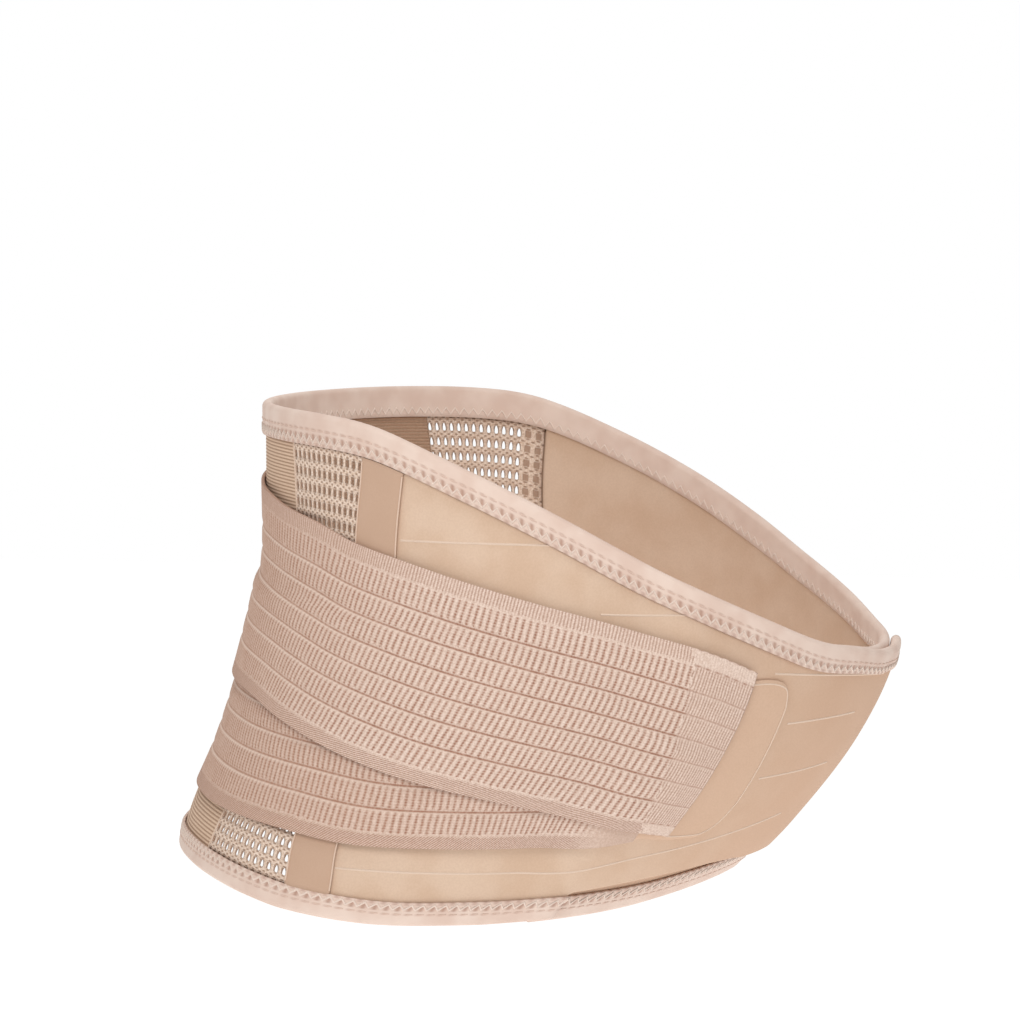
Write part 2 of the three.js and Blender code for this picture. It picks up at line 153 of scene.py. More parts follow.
# Share of the lower strap's width, from its lower edge, that keeps its size where the strap tapers
UNCOVERED = 0.34
# Turn, and lower and upper edge of the fastening tab as shares of the strap's width
TAB = [
    (33, -0.55, -0.08), (34, -0.655, 0.01), (36, -0.715, 0.045), (39, -0.725, 0.058),
    (43, -0.72, 0.058), (TAB_REAR, -0.69, 0.06),
]
TAB_LEAN = 4
TAB_MIDDLE = -0.33


# The inner form

def smooth(rows, at, column=1):
    """A smooth curve through one column of a table."""
    keys = np.array([row[0] for row in rows], float)
    values = np.array([row[column] for row in rows], float)
    last = len(rows) - 1
    before = np.maximum(np.arange(last + 1) - 1, 0)
    after = np.minimum(np.arange(last + 1) + 1, last)
    slopes = (values[after] - values[before]) / (keys[after] - keys[before])
    at = np.asarray(at, float)
    i = np.clip(np.searchsorted(keys, at) - 1, 0, last - 1)
    span = keys[i + 1] - keys[i]
    s = np.clip((at - keys[i]) / span, 0, 1)
    rise = values[i + 1] - values[i]
    start, end = slopes[i] * span, slopes[i + 1] * span
    return values[i] + s * (start + s * (3 * rise - 2 * start - end + s * (start + end - 2 * rise)))


def ease(at, low, high):
    """A smooth step from 0 at low to 1 at high."""
    s = np.clip((np.asarray(at, float) - low) / (high - low), 0, 1)
    return s * s * (3 - 2 * s)


def mirrored(turn):
    """The turn of the same place on the right side, from 0 to 180."""
    turn = np.mod(turn, 360)
    return np.minimum(turn, 360 - turn)


def form(turn, height):
    """Points of the inner form: at each height an ellipse that is narrower towards the front."""
    level = height / BELT_HEIGHT
    half = HIP_WIDTH / 2 * smooth(SECTIONS, level, 1)
    front = BELLY_REACH * smooth(SECTIONS, level, 2)
    back = SEAT_REACH * smooth(SECTIONS, level, 3)
    angle = np.radians(turn)
    across = -half * np.sin(angle) * (1 - BELLY_TAPER * np.cos(angle))
    along = (back - front) / 2 - (back + front) / 2 * np.cos(angle)
    return np.stack([across, along, height + 0 * angle], -1)


def outward(turn, height):
    """Unit vectors square to the inner form."""
    small = 0.5
    round_ = form(turn + small, height) - form(turn - small, height)
    up = form(turn, height + small * MM) - form(turn, height - small * MM)
    out = np.cross(up, round_)
    return out / np.linalg.norm(out, axis=-1, keepdims=True)


def cloth(turn, height, lift):
    """Points at a turn, a height and a lift."""
    turn, height, lift = np.broadcast_arrays(*(np.asarray(x, float) for x in (turn, height, lift)))
    return form(turn, height) + outward(turn, height) * lift[..., None]


def degrees_of(length, turn, height):
    """How many degrees of turn a length round the inner form takes."""
    degree = form(turn + 0.5, height) - form(turn - 0.5, height)
    return length / np.linalg.norm(degree, axis=-1)


def top_edge(turn):
    return BELT_HEIGHT * smooth(TOP_RIM, mirrored(turn))


def bottom_edge(turn):
    """The lower rim, drawn up a little where the outer end rides over the inner one."""
    return BELT_HEIGHT * smooth(BOTTOM_RIM, mirrored(turn)) + LAP_TUCK * lap_rise(turn)


def tape_turn(height):
    return smooth(TAPE_LINE, height / BELT_HEIGHT)


def seam_turn(height):
    return smooth(BACK_SEAM, height / BELT_HEIGHT)


def lap_rise(turn):
    """How much the outer end rises over the inner one."""
    return LAP_LIFT * ease(LAP_FULL + LAP_RAMP - np.asarray(turn, float), 0, LAP_RAMP)


# Making pieces

# The trims on each sheet, listed by the sheet's name
trims = {}
# Share of a sheet's length or width that its rounded cut edge takes
EDGE = 0.004


def hold(piece, finish, *nodes):
    """Put a piece into the scene with its material, riding the root and standing for its CAD nodes."""
    scene.collection.objects.link(piece)
    piece.data.materials.append(finish)
    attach(piece, "root")
    if nodes:
        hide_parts(*nodes)


def sew(name, us, vs, place, thickness, finish, opened=None):
    """A sheet of cloth on the inner form, for the CAD node of the same name. place gives turn,
    height, lift and relief of the outer face and its pattern's place across and up."""
    us, vs = np.asarray(us, float), np.asarray(vs, float)
    across, up = len(us) - 1, len(vs) - 1
    bm = bmesh.new()
    bmesh.ops.create_grid(bm, x_segments=across, y_segments=up, size=0.5)
    bm.verts.index_update()
    bm.faces.ensure_lookup_table()
    flat = np.array([v.co[:2] for v in bm.verts]) + 0.5
    i = np.rint(flat[:, 0] * across).astype(int)
    j = np.rint(flat[:, 1] * up).astype(int)
    turn, height, lift, relief, u, v = np.broadcast_arrays(*place(us[i], vs[j]))
    base = cloth(turn, height, lift)
    points = base + outward(turn, height) * relief[:, None]
    for vert, point in zip(bm.verts, points):
        vert.co = point
    layer = bm.loops.layers.uv.new("cloth")
    for face in bm.faces:
        for loop in face.loops:
            k = loop.vert.index
            loop[layer].uv = (u[k], v[k])
        face.smooth = True
    middle = bm.faces[len(bm.faces) // 2]
    middle.normal_update()
    k = middle.verts[0].index
    if Vector(outward(turn[k], height[k])).dot(middle.normal) < 0:
        bmesh.ops.reverse_faces(bm, faces=bm.faces)
    if opened:
        cells = []
        for face in bm.faces:
            corners = [vert.index for vert in face.verts]
            if opened(min(i[corners]), min(j[corners])):
                cells.append(face)
        bmesh.ops.delete(bm, geom=cells, context="FACES")
    area = sum(f.calc_area() for f in bm.faces)
    mesh = bpy.data.meshes.new(name + "_cloth")
    bm.to_mesh(mesh)
    bm.free()
    piece = bpy.data.objects.new(name + "_cloth", mesh)
    hold(piece, finish, name)
    shell = piece.modifiers.new("thickness", "SOLIDIFY")
    shell.thickness = thickness
    shell.offset = -1
    grid = np.empty((across + 1, up + 1, 3))
    grid[i, j] = base
    return piece


def stitch(name, runs, radius, finish, on):
    """Thread or piping along runs of points, sewn on a sheet."""
    curve = bpy.data.curves.new(name, "CURVE")
    curve.dimensions = "3D"
    curve.bevel_depth = radius
    curve.bevel_resolution = 1
    curve.resolution_u = 1
    curve.use_fill_caps = True
    for run in runs:
        spline = curve.splines.new("POLY")
        spline.points.add(len(run) - 1)
        spline.points.foreach_set("co", np.c_[run, np.ones(len(run))].ravel())
    piece = bpy.data.objects.new(name, curve)
    hold(piece, finish)
    trims.setdefault(on.name, []).append(piece)


def stations(count, edge=EDGE):
    """Shares from 0 to 1 with a close step at each end, so that a cut edge is softly rounded."""
    inner = np.linspace(0, 1, count + 1)[1:-1]
    return np.r_[0, edge, inner, 1 - edge, 1]


# Materials

# Settings of a node that mixes colours, with the output it gives them on
COLOURS = {"out": 2, "data_type": "RGBA"}
SMOOTH = {"interpolation_type": "SMOOTHSTEP"}


def linear(code):
    """An sRGB hex value as linear red, green, blue and alpha."""
    values = [int(code[k:k + 2], 16) / 255 for k in (1, 3, 5)]
    return [x / 12.92 if x <= 0.04045 else ((x + 0.055) / 1.055) ** 2.4 for x in values] + [1]


def add_node(tree, kind, inputs=(), out=0, **settings):
    """Add a shader node with its settings, values, hex colours and links, and give one output."""
    made = tree.nodes.new("ShaderNode" + kind)
    for key, value in settings.items():
        setattr(made, key, value)
    sockets = inputs if isinstance(inputs, dict) else dict(enumerate(inputs))
    for socket, value in sockets.items():
        if isinstance(value, bpy.types.NodeSocket):
            tree.links.new(value, made.inputs[socket])
        else:
            made.inputs[socket].default_value = linear(value) if isinstance(value, str) else value
    return made.outputs[out]


def matt(name, roughness, specular):
    """A material with its node tree and its shader."""
    made = bpy.data.materials.new(name)
    made.use_nodes = True
    shader = made.node_tree.nodes["Principled BSDF"]
    shader.inputs["Roughness"].default_value = roughness
    shader.inputs["Specular IOR Level"].default_value = specular
    return made, made.node_tree, shader


def fabric(name, roughness=0.95, sheen=0.04):
    """A cloth's material, tree and shader, its place in the object and on the cloth."""
    made, tree, shader = matt(name, roughness, 0.1)
    shader.inputs["Sheen Weight"].default_value = sheen
    shader.inputs["Sheen Roughness"].default_value = 0.6
    place = add_node(tree, "TexCoord", out="Object")
    split = add_node(tree, "SeparateXYZ", [add_node(tree, "UVMap", uv_map="cloth")]).node
    return made, tree, shader, place, split.outputs[0], split.outputs[1]


def cover(tree, shader, colour, normal):
    """Give the shader its colour and its relief."""
    tree.links.new(colour, shader.inputs["Base Color"])
    tree.links.new(normal, shader.inputs["Normal"])


def wave(tree, value, power=1.0):
    """0 in the middle of a step of value and 1 at its ends."""
    turned = add_node(tree, "Math", (value, 2 * math.pi), operation="MULTIPLY")
    swing = add_node(tree, "Math", (turned,), operation="COSINE")
    raised = add_node(tree, "Math", (swing, 0.5, 0.5), operation="MULTIPLY_ADD")
    return add_node(tree, "Math", (raised, power), operation="POWER")


def inside(tree, value, first, full, fade, last):
    """1 from full to fade, and 0 before first and past last."""
    rise = add_node(tree, "MapRange", (value, first, full), **SMOOTH)
    fall = add_node(tree, "MapRange", (value, fade, last, 1.0, 0.0), **SMOOTH)
    return add_node(tree, "Math", (rise, fall), operation="MULTIPLY")


def unsteady(tree, value, noise, amount):
    """A value that noise moves by up to half the amount either way."""
    moved = add_node(tree, "Math", (value, amount / 2), operation="SUBTRACT")
    return add_node(tree, "Math", (noise, amount, moved), operation="MULTIPLY_ADD")


# Woven elastic with upright cords: pale cords with dotted brown gaps that stop short of the brown
# lines between the bands. The selvages are a fine twill and the cut end is woven closer.
# The pattern counts cords along the strap and bands across it.
GAP_DOTS = 9
LINED_BANDS = (1.3, 1.6, 7.4, 7.7)
PLAIN_ROOT = (102.0, 108.0)


def strap_elastic(name, plain_to, dense_to, shaded_from):
    """The straps' elastic. The numbers are cords from the front end: where the plain end and the
    closer weave stop, and where the painted shade towards the root starts."""
    made, tree, shader, place, cords, bands = fabric(name)
    speckle = add_node(tree, "TexNoise", {"Vector": place, "Scale": 1 / (0.8 * MM), "Detail": 3})
    drift = add_node(tree, "TexNoise", {"Vector": place, "Scale": 1 / (9 * MM), "Detail": 2})
    ragged = add_node(tree, "TexNoise", {"Vector": place, "Scale": 1 / (1.8 * MM), "Detail": 2})
    wander = unsteady(tree, cords, drift, 0.34)
    uneven = unsteady(tree, bands, ragged, 0.3)

    # Dotted gaps between the cords, up to the lines
    rows = wave(tree, add_node(tree, "Math", (bands, GAP_DOTS), operation="MULTIPLY"))
    worn = add_node(tree, "MapRange", (ragged, 0.3, 0.6, 0.62, 1.0))
    gap = add_node(tree, "Math", (wave(tree, wander, 1.8), worn), operation="MULTIPLY")
    dotted = add_node(tree, "Math", (rows, 0.35, 0.65), operation="MULTIPLY_ADD")
    gap = add_node(tree, "Math", (gap, dotted), operation="MULTIPLY")
    clear = add_node(tree, "MapRange", (wave(tree, uneven), 0.9, 0.99, 1.0, 0.0), **SMOOTH)
    gap = add_node(tree, "Math", (gap, clear), operation="MULTIPLY")

    # Closer weave at the cut end and the upper selvage, twill at the lower one
    doubled = add_node(tree, "Math", (wander, 2.0), operation="MULTIPLY")
    fine = add_node(tree, "Math", (wave(tree, doubled, 1.3), 0.6), operation="MULTIPLY")
    slant = add_node(tree, "Math", (bands, 5.0, doubled), operation="MULTIPLY_ADD")
    twill = add_node(tree, "Math", (wave(tree, slant, 1.2), 0.8), operation="MULTIPLY")
    low_selvage = add_node(tree, "MapRange", (uneven, 0.8, 1.1, 1.0, 0.0), **SMOOTH)
    high_selvage = add_node(tree, "MapRange", (uneven, 7.9, 8.2), **SMOOTH)
    frayed = add_node(tree, "Math", (ragged, 3.0, dense_to - 4.0), operation="MULTIPLY_ADD")
    reach = add_node(tree, "Math", (bands, 0.6, frayed), operation="MULTIPLY_ADD")
    closer = add_node(tree, "Math", (cords, reach), operation="LESS_THAN")
    finer = add_node(tree, "Math", (closer, high_selvage), operation="MAXIMUM")
    pattern = add_node(tree, "Mix", {0: finer, 2: gap, 3: fine})
    pattern = add_node(tree, "Mix", {0: low_selvage, 2: pattern, 3: twill})

    # Brown lines between the bands, fainter towards the root and the cut end, and beside each a
    # painted highlight as a pale line
    lined = inside(tree, bands, *LINED_BANDS)
    line = add_node(tree, "Math", (wave(tree, bands, 34), lined), operation="MULTIPLY")
    for fading in (
        add_node(tree, "MapRange", (closer, 0.0, 1.0, 1.0, 0.55)),
        add_node(tree, "MapRange", (ragged, 0.35, 0.6, 0.7, 1.0)),
        add_node(tree, "MapRange", (cords, 45.0, 90.0, 1.0, 0.6)),
    ):
        line = add_node(tree, "Math", (line, fading), operation="MULTIPLY")
    beside = add_node(tree, "Math", (bands, 0.09), operation="ADD")
    ridge = add_node(tree, "Math", (wave(tree, beside, 40), lined), operation="MULTIPLY")
    rising = add_node(tree, "MapRange", (cords, 20.0, 80.0, 0.3, 0.7))
    ridge = add_node(tree, "Math", (ridge, rising), operation="MULTIPLY")
    pattern = add_node(tree, "Math", (pattern, line), operation="MAXIMUM")
    pattern = add_node(tree, "Math", (rows, 0.12, pattern), operation="MULTIPLY_ADD")

    # Plain ends, and bare corners with a row of dashes
    plain = 0.0
    if plain_to:
        plain = add_node(tree, "MapRange", (cords, plain_to - 8.0, plain_to, 1.0, 0.0), **SMOOTH)
    root = add_node(tree, "MapRange", (cords, *PLAIN_ROOT), **SMOOTH)
    selvages = add_node(tree, "Math", (low_selvage, high_selvage), operation="MAXIMUM")
    corner = add_node(tree, "Math", (closer, selvages), operation="MULTIPLY")
    corner = add_node(tree, "Math", (corner, 0.75), operation="MULTIPLY")
    ends = add_node(tree, "Math", (plain, root), operation="MAXIMUM")
    bare = add_node(tree, "Math", (corner, ends), operation="MAXIMUM")
    woven = add_node(tree, "Math", (1.0, bare), operation="SUBTRACT")
    shown = add_node(tree, "Math", (pattern, woven), operation="MULTIPLY")
    spaced = add_node(tree, "Math", (cords, 0.6), operation="MULTIPLY")
    dashes = add_node(tree, "Math", (wave(tree, spaced, 0.7), closer), operation="MULTIPLY")
    dashes = add_node(tree, "Math", (dashes, wave(tree, bands, 30)), operation="MULTIPLY")
    unlined = add_node(tree, "Math", (1.0, lined), operation="SUBTRACT")
    dashes = add_node(tree, "Math", (dashes, unlined), operation="MULTIPLY")
    dashes = add_node(tree, "Math", (dashes, 0.8), operation="MULTIPLY")
    shown = add_node(tree, "Math", (shown, dashes), operation="MAXIMUM")

    grain = add_node(tree, "MapRange", (speckle, 0.3, 0.7), **SMOOTH)
    pale = add_node(tree, "Mix", {0: grain, 6: "#d5bbaa", 7: "#e8d3c5"}, **COLOURS)
    brown = add_node(tree, "Mix", {0: grain, 6: "#936855", 7: "#a87c67"}, **COLOURS)
    plain_pink = add_node(tree, "Mix", {0: grain, 6: "#c3a694", 7: "#ceb4a4"}, **COLOURS)
    plain_brown = add_node(tree, "Mix", {0: grain, 6: "#b8957f", 7: "#c5a490"}, **COLOURS)
    # Painted shade: warmer and darker towards the root, on the lower strap from near its front end
    painted_root_shade = add_node(tree, "MapRange", (cords, shaded_from, 90.0, 0.0, 0.5))
    colour = add_node(tree, "Mix", {0: shown, 6: pale, 7: brown}, **COLOURS)
    colour = add_node(tree, "Mix", {0: painted_root_shade, 6: colour, 7: "#ad836b"}, **COLOURS)
    # Painted highlight: the pale line beside each brown line between the bands
    colour = add_node(tree, "Mix", {0: ridge, 6: colour, 7: "#e2cbbb"}, **COLOURS)
    colour = add_node(tree, "Mix", {0: plain, 6: colour, 7: plain_pink}, **COLOURS)
    colour = add_node(tree, "Mix", {0: root, 6: colour, 7: plain_brown}, **COLOURS)
    sunk = add_node(tree, "Math", (shown, -1.0), operation="MULTIPLY")
    height = add_node(tree, "Math", (speckle, 0.12, sunk), operation="MULTIPLY_ADD")
    normal = add_node(tree, "Bump", {"Height": height, "Distance": 0.25 * MM, "Strength": 0.6})
    cover(tree, shader, colour, normal)
    return made


# Fine rib knit: pale ridges and brown valleys round the back
def rib_knit():
    made, tree, shader, place, _, ribs = fabric("rib_knit_elastane")
    speckle = add_node(tree, "TexNoise", {"Vector": place, "Scale": 1 / (1.1 * MM), "Detail": 2})
    ridge = add_node(tree, "Mix", {0: speckle, 6: "#d3b499", 7: "#e4c8af"}, **COLOURS)
    valley = add_node(tree, "Mix", {0: speckle, 6: "#9b7a62", 7: "#b08f78"}, **COLOURS)
    colour = add_node(tree, "Mix", {0: wave(tree, ribs, 1.3), 6: ridge, 7: valley}, **COLOURS)
    normal = add_node(tree, "Bump", {"Height": speckle, "Distance": 0.15 * MM, "Strength": 0.4})
    cover(tree, shader, colour, normal)
    return made


# Warp-knit net: between the rows of open slots small dark meshes in a staggered grid, and beside
# each slot a thread with a dark edge
def open_net():
    made, tree, shader, place, columns, rows = fabric("warp_knit_net")
    small_rows = add_node(tree, "Math", (rows, 3.0), operation="MULTIPLY")
    between_columns = add_node(tree, "Math", (columns, 0.5), operation="ADD")
    between_small = add_node(tree, "Math", (small_rows, 0.5), operation="ADD")
    shifted = wave(tree, between_columns)
    even = add_node(tree, "Math", (wave(tree, columns), wave(tree, small_rows)), operation="MULTIPLY")
    odd = add_node(tree, "Math", (shifted, wave(tree, between_small)), operation="MULTIPLY")
    meshes = add_node(tree, "Math", (even, odd), operation="MAXIMUM")
    meshes = add_node(tree, "MapRange", (meshes, 0.45, 0.95), **SMOOTH)
    between_slots = add_node(tree, "MapRange", (wave(tree, rows), 0.3, 0.6), **SMOOTH)
    edges = add_node(tree, "MapRange", (shifted, 0.25, 0.6), **SMOOTH)
    dark = add_node(tree, "Mix", {0: between_slots, 2: edges, 3: meshes})
    speckle = add_node(tree, "TexNoise", {"Vector": place, "Scale": 1 / (0.9 * MM), "Detail": 2})
    grain = add_node(tree, "MapRange", (speckle, 0.3, 0.7), **SMOOTH)
    threads = add_node(tree, "Mix", {0: grain, 6: "#d3b69f", 7: "#ecd8c8"}, **COLOURS)
    share = add_node(tree, "Math", (dark, 0.85), operation="MULTIPLY")
    colour = add_node(tree, "Mix", {0: share, 6: threads, 7: "#a58570"}, **COLOURS)
    sunk = add_node(tree, "Math", (dark, -1.0), operation="MULTIPLY")
    normal = add_node(tree, "Bump", {"Height": sunk, "Distance": 0.4 * MM, "Strength": 0.8})
    cover(tree, shader, colour, normal)
    return made


# Brushed knit laminated to a thin foam: smooth and matt, with a faint grain and soft mottling, and
# painted shade that makes it warmer and darker towards the front of the panels
def brushed_knit(name, low, high, front, grain=0.9):
    made, tree, shader, place, along, _ = fabric(name)
    mottled = add_node(tree, "TexNoise", {"Vector": place, "Scale": 1 / (22 * MM), "Detail": 3})
    fine = add_node(tree, "TexNoise", {"Vector": place, "Scale": 1 / (grain * MM), "Detail": 2})
    patches = add_node(tree, "MapRange", (mottled, 0.3, 0.7), **SMOOTH)
    # Painted shade: the colour is mixed towards the front colour over the front of the panels
    painted_front_shade = add_node(tree, "MapRange", (along, 110, 240, 0.75, 0.0))
    specks = add_node(tree, "MapRange", (fine, 0.35, 0.65), **SMOOTH)
    specks = add_node(tree, "Math", (specks, 0.12), operation="MULTIPLY")
    colour = add_node(tree, "Mix", {0: patches, 6: low, 7: high}, **COLOURS)
    colour = add_node(tree, "Mix", {0: painted_front_shade, 6: colour, 7: front}, **COLOURS)
    colour = add_node(tree, "Mix", {0: specks, 6: colour, 7: "#b3927b"}, **COLOURS)
    threads = wave(tree, add_node(tree, "Math", (along, 1.25), operation="MULTIPLY"))
    height = add_node(tree, "Math", (threads, 0.25, fine), operation="MULTIPLY_ADD")
    normal = add_node(tree, "Bump", {"Height": height, "Distance": 0.08 * MM, "Strength": 0.35})
    cover(tree, shader, colour, normal)
    return made


# Folded elastic binding: satin ground, pulled in between the legs of the zigzag, at each stitch of
# the row above it and along the edge, and darkened there with painted shade. The pattern counts
# zigzag steps along and the leg across.
def fold_elastic():
    made, tree, shader, place, along, drop = fabric("fold_over_elastic", 0.85, 0.05)
    fine = add_node(tree, "TexNoise", {"Vector": place, "Scale": 1 / (0.8 * MM), "Detail": 2})
    soft = add_node(tree, "TexNoise", {"Vector": place, "Scale": 1 / (14 * MM), "Detail": 2})
    shaded_well = inside(tree, drop, 0.6, 0.68, 0.8, 0.88)
    shaded_well = add_node(tree, "Math", (shaded_well, wave(tree, along, 1.6)), operation="MULTIPLY")
    between = add_node(tree, "Math", (along, 0.5), operation="ADD")
    hem = add_node(tree, "MapRange", (drop, 0.86, 0.93, 0.0, 0.7), **SMOOTH)
    hem = add_node(tree, "Math", (hem, wave(tree, between, 1.3)), operation="MULTIPLY")
    row = inside(tree, drop, 0.44, 0.49, 0.53, 0.58)
    row = add_node(tree, "Math", (row, wave(tree, along)), operation="MULTIPLY")
    row = add_node(tree, "Math", (row, 0.5), operation="MULTIPLY")
    pulled_and_shaded = add_node(tree, "Math", (shaded_well, hem), operation="MAXIMUM")
    pulled_and_shaded = add_node(tree, "Math", (pulled_and_shaded, row), operation="MAXIMUM")
    patches = add_node(tree, "MapRange", (soft, 0.3, 0.7), **SMOOTH)
    # Painted shade in the zigzag's wells, at the row's stitches and along the edge; the bump below is the
    # real pull-in
    share = add_node(tree, "Math", (pulled_and_shaded, 0.7), operation="MULTIPLY")
    colour = add_node(tree, "Mix", {0: patches, 6: "#d9bfb0", 7: "#e2ccbe"}, **COLOURS)
    colour = add_node(tree, "Mix", {0: share, 6: colour, 7: "#a67d6b"}, **COLOURS)
    faint = add_node(tree, "Math", (fine, 0.3), operation="MULTIPLY")
    height = add_node(tree, "Math", (pulled_and_shaded, -1.0, faint), operation="MULTIPLY_ADD")
    normal = add_node(tree, "Bump", {"Height": height, "Distance": 0.22 * MM, "Strength": 0.5})
    cover(tree, shader, colour, normal)
    return made


# Spun polyester sewing thread: matt, with a faint twist
def sewing_thread(name, low, high):
    made, tree, shader = matt(name, 0.95, 0.05)
    place = add_node(tree, "TexCoord", out="Object")
    twist = add_node(tree, "TexNoise", {"Vector": place, "Scale": 1 / (0.7 * MM), "Detail": 2})
    colour = add_node(tree, "Mix", {0: twist, 6: low, 7: high}, **COLOURS)
    normal = add_node(tree, "Bump", {"Height": twist, "Distance": 0.05 * MM, "Strength": 0.3})
    cover(tree, shader, colour, normal)
    return made


# The last colour of each brushed knit is its painted shade at the front
panel_knit = brushed_knit("brushed_laminated_knit", "#cfb198", "#d7bca5", "#caa68c")
tab_knit = brushed_knit("brushed_tab_knit", "#cfae94", "#d6b79f", "#d0af96")
tape_weave = brushed_knit("woven_seam_tape", "#c0a089", "#c9aa94", "#c0a089", 0.7)
net = open_net()
ribbed = rib_knit()
# The last number is where each strap's painted shade towards the root starts
elastic_upper = strap_elastic("woven_cord_elastic", 0.0, 8.5, 50.0)
elastic_lower = strap_elastic("woven_cord_elastic_lower", 12.0, 0.0, 5.0)
fold = fold_elastic()
pale_thread = sewing_thread("pale_polyester_thread", "#dbc4b5", "#e7d5c8")
row_thread = sewing_thread("row_polyester_thread", "#cfb3a3", "#dbc2b3")
seam_thread = sewing_thread("cloth_seam_piping", "#d6bda8", "#e0cab8")
tape_edge_thread = sewing_thread("woven_tape_edge", "#d2b7a2", "#ddc5b2")


# Panels

RIBS = 130
POINTS_PER_RIB = 4
RIB_DEPTH = 0.3 * MM
# Lengths that the pattern counts along the front panels and the back panel
FRONT_PATTERN = 400
BACK_PATTERN = 250
# Turns between which the free hem passes into the bound rim, and a turn near the back's seam
HEM_CLOSES = (BINDING_END + 0.1, BINDING_END + 1.5)
NEAR_SEAM = 135
# Rounds in which the turn and the height of a point on a slanting edge settle
ROUNDS = 5


def corded(count):
    """1 at each whole number and 0 halfway between them."""
    return 0.5 + 0.5 * np.cos(2 * np.pi * count)


def on_side(side, turn):
    """A turn of the right side, or the same place on the left one."""
    return turn if side > 0 else 360 - turn


def bound_bottom(turn):
    return bottom_edge(turn) + SEWN_IN


def bound_top(turn):
    return top_edge(turn) - SEWN_IN


def hem_or_binding(turn):
    """The lower edge of the outer front panel: a free hem, and the bound rim behind it."""
    free = bottom_edge(turn) + BOTTOM_BINDING_WIDTH * smooth(FREE_HEM, mirrored(turn))
    return free + ease(turn, *HEM_CLOSES) * (bound_bottom(turn) - free)


def between(turn_at, v, bottom):
    """Turn and height of a panel's point, where the panel's side edge slants with height."""
    height = np.zeros_like(v)
    for _ in range(ROUNDS):
        turn = turn_at(height)
        low = bottom(turn)
        height = low + v * (bound_top(turn) - low)
    return turn, height


def tape_edge(height):
    tape = tape_turn(height)
    return tape - degrees_of(BUTT_GAP / 2, tape, height)


def seam_gap(height):
    return degrees_of(NET_SEAM_GAP / 2, NEAR_SEAM, height)


def front_panel_right(u, v):
    turn, height = between(lambda z: LAP_END + u * (tape_edge(z) - LAP_END), v, hem_or_binding)
    return turn, height, lap_rise(turn) + PANEL, 0 * u, u * FRONT_PATTERN, height / MM


def front_panel_left(u, v):
    def start(z):
        return 360 - tape_edge(z)

    turn, height = between(lambda z: start(z) + u * (360 + INNER_END - start(z)), v, bound_bottom)
    return turn, height, PANEL + 0 * u, 0 * u, (1 - u) * FRONT_PATTERN, height / MM


def back_panel(u, v):
    def edge(z):
        return seam_turn(z) + seam_gap(z)

    turn, height = between(lambda z: edge(z) + u * (360 - 2 * edge(z)), v, bound_bottom)
    ribs = v * RIBS
    return turn, height, PANEL + 0 * u, -RIB_DEPTH * corded(ribs), u * BACK_PATTERN, ribs


panels = {}
for name, columns, rows, place, finish in (
    ("front_panel_right", stations(110), stations(40), front_panel_right, panel_knit),
    ("front_panel_left", stations(130), stations(40), front_panel_left, panel_knit),
    ("back_panel", stations(44), np.linspace(0, 1, RIBS * POINTS_PER_RIB + 1), back_panel, ribbed),
):
    panels[name] = sew(name, columns, rows, place, PANEL, finish)


# The open mesh: rows of slots that are narrow at both ends. The slot's shape is a list of places in
# its row, with the share of the slot's width there.
SLOT_COLUMNS = 13
SLOT_ROWS = 32
SLOT_HALF = 0.25
SLOT_SHAPE = [(-0.27, 0.5), (-0.2, 1.0), (0, 0.95), (0.17, 0.65), (0.27, 0.2)]
SLOT_STEPS = len(SLOT_SHAPE) + 1
NET = 0.8 * MM
NET_SEAM = 0.5 * MM
NET_SEAM_SUNK = 0.15 * MM
# How much closer the rows lie at the lower rim, and wider at the upper one, than on average
NET_DRAWN = 0.16


def net_rows():
    """Row places, in slot rows, and how wide the slots are there."""
    places = [(0, 1)]
    for k in range(SLOT_ROWS):
        places += [(k + 0.5 + at, width) for at, width in SLOT_SHAPE]
        places.append((k + 1, 1))
    return np.array(places)


def net_columns():
    """Column places, in slot columns, and -1 or 1 where a slot's left or right side is."""
    places = [(-2, 0), (-1, 0), (0, 0)]
    for k in range(SLOT_COLUMNS):
        places += [(k + 0.5, -1), (k + 0.5, 1)]
    return np.array(places + [(SLOT_COLUMNS, 0)])


def mesh_panel(side, word):
    rows, widths = net_rows().T
    columns, kinds = net_columns().T

    def place(index, row):
        index, row = index.astype(int), row.astype(int)
        c = columns[index] + kinds[index] * SLOT_HALF * widths[row]
        share = rows[row] / SLOT_ROWS
        v = share + NET_DRAWN * share * (share - 1)

        def turn_at(z):
            tape = tape_turn(z)
            start = tape + degrees_of(BUTT_GAP / 2, tape, z)
            bare = tape + degrees_of(TAPE_WIDTH / 2, tape, z)
            end = seam_turn(z) - seam_gap(z)
            past = bare + c / SLOT_COLUMNS * (end - bare)
            return np.where(c < 0, bare + (bare - start) * c / 2, past)

        turn, height = between(turn_at, v, bound_bottom)
        return on_side(side, turn), height, PANEL + 0 * turn, 0 * turn, c, rows[row]

    def opened(i, j):
        return kinds[i] == -1 and 0 < j % SLOT_STEPS < SLOT_STEPS - 1

    name = "mesh_panel_" + word
    piece = sew(name, np.arange(len(columns)), np.arange(len(rows)), place, NET, net, opened)
    turn, height = between(seam_turn, np.linspace(0, 1, 140), bound_bottom)
    seam = cloth(on_side(side, turn), height, PANEL - NET_SEAM_SUNK)
    stitch(name + "_seam", [seam], NET_SEAM, tape_edge_thread, piece)


SIDES = ((1, "right"), (-1, "left"))
for side, word in SIDES:
    mesh_panel(side, word)


# Bindings: folded round the rims, with a rolled fold and a flat leg on each side. The fold's outline
# has this many points on the outer leg, round the roll and on the inner leg.
ROLL = (OVER_PANEL + BINDING + SEWN_IN) / 2
OUTER_LEG = 14
ROUND_ROLL = 10
INNER_LEG = 6
BINDING_STEPS = 300
